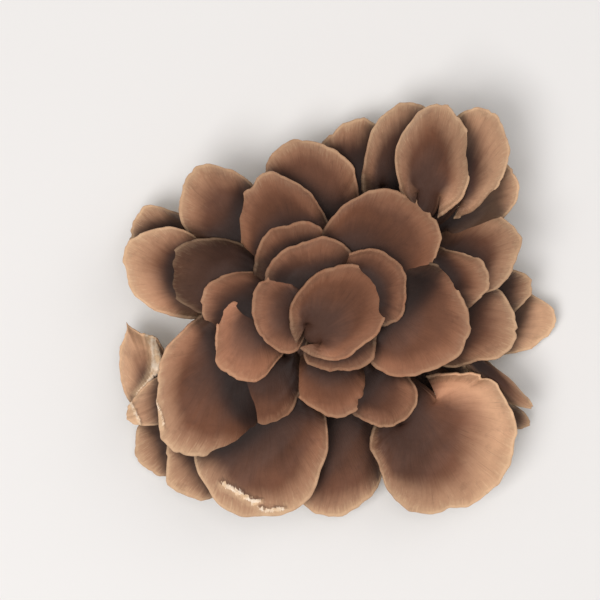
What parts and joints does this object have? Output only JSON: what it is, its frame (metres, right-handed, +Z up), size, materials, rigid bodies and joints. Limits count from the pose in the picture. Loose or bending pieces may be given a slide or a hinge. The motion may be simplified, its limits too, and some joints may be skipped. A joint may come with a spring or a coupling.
{
  "type": "maitake mushroom",
  "caption": "Cluster of overlapping fan-shaped brown caps with wavy margins, on flattened stems that branch from one cut base.",
  "frame": {"origin": "centre of the flat cut under the base, on the surface that it rests on", "axes": "+Z up through the crown; +X towards the side where the lowest frond reaches furthest; +Y across it"},
  "size_m": [0.1284, 0.1212, 0.0564],
  "materials": {
    "fungus_flesh": "dry, matt and suede-like, brown above with a paler tan margin, cream on stems, pores and cut base"
  },
  "bodies": {
    "root": {"maitake_cluster": "fungus_flesh"}
  },
  "joints": []
}
